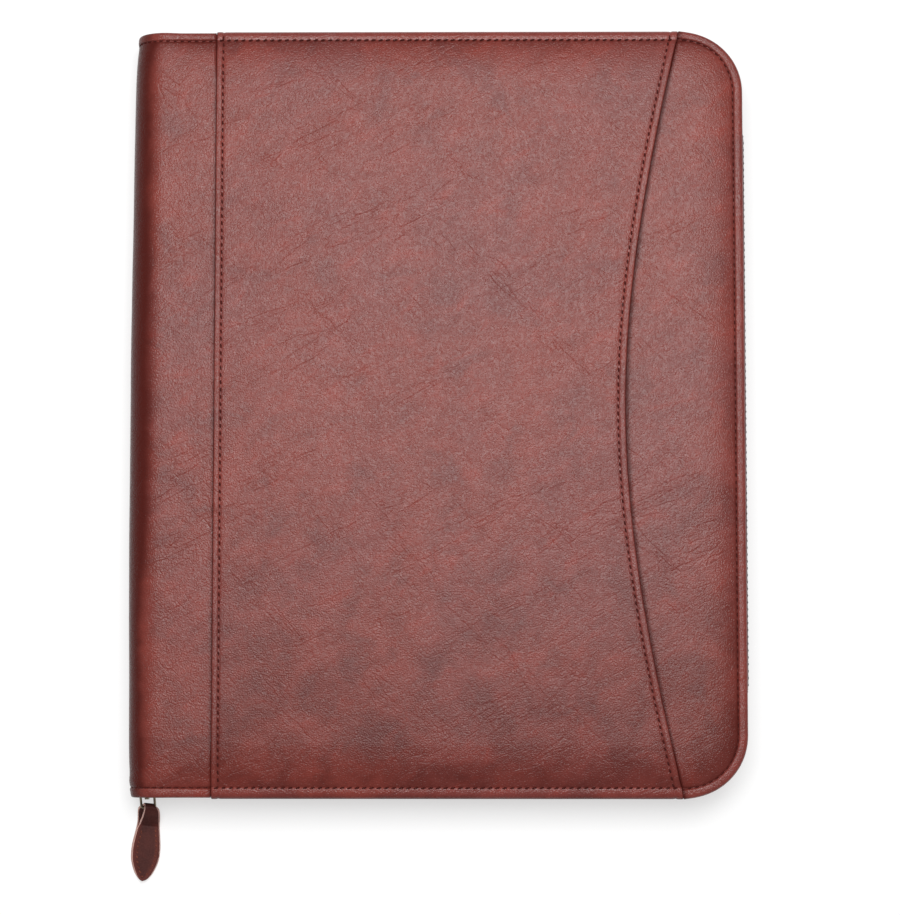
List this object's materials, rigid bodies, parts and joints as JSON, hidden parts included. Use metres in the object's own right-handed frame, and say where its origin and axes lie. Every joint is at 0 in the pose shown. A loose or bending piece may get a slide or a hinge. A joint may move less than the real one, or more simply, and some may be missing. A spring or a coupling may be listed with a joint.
{
  "type": "leather document case",
  "caption": "Zip-around leather document case with padded covers, a round spine, a curved front slip pocket and a leather zip pull, lying closed on its back.",
  "frame": {"origin": "middle of the flat outer face of the back cover, on which the closed case lies; it is the middle of the covers' width and height", "axes": "+X from the spine to the zip side, +Y up the front cover as it is read, away from the zip pull, +Z from the back cover to the front cover"},
  "size_m": [0.2714, 0.3746, 0.0284],
  "materials": {
    "spine_leather": "antiqued burgundy-brown leather, burnished darker along the spine and the rolled edges",
    "cover_leather": "antiqued burgundy-brown leather, soft satin, fine pebbled grain",
    "pocket_leather": "antiqued burgundy-brown leather, soft satin, mottled red, brown and grey-mauve",
    "zip_tape": "woven dark burgundy zip tape",
    "zip_coil": "dark burgundy nylon coil",
    "dark_metal": "dark antiqued metal, worn lighter on the edges",
    "pull_leather": "smooth dark brown-burgundy leather with a pale pink raw edge"
  },
  "bodies": {
    "root": {"spine_and_back": "spine_leather", "front_cover": "cover_leather", "pocket_panel": "pocket_leather", "zip_tape_front": "zip_tape", "zip_tape_back": "zip_tape", "zip_teeth": "zip_coil", "zip_slider": "dark_metal", "pull_link": "dark_metal", "pull_tab": "pull_leather"}
  },
  "joints": []
}
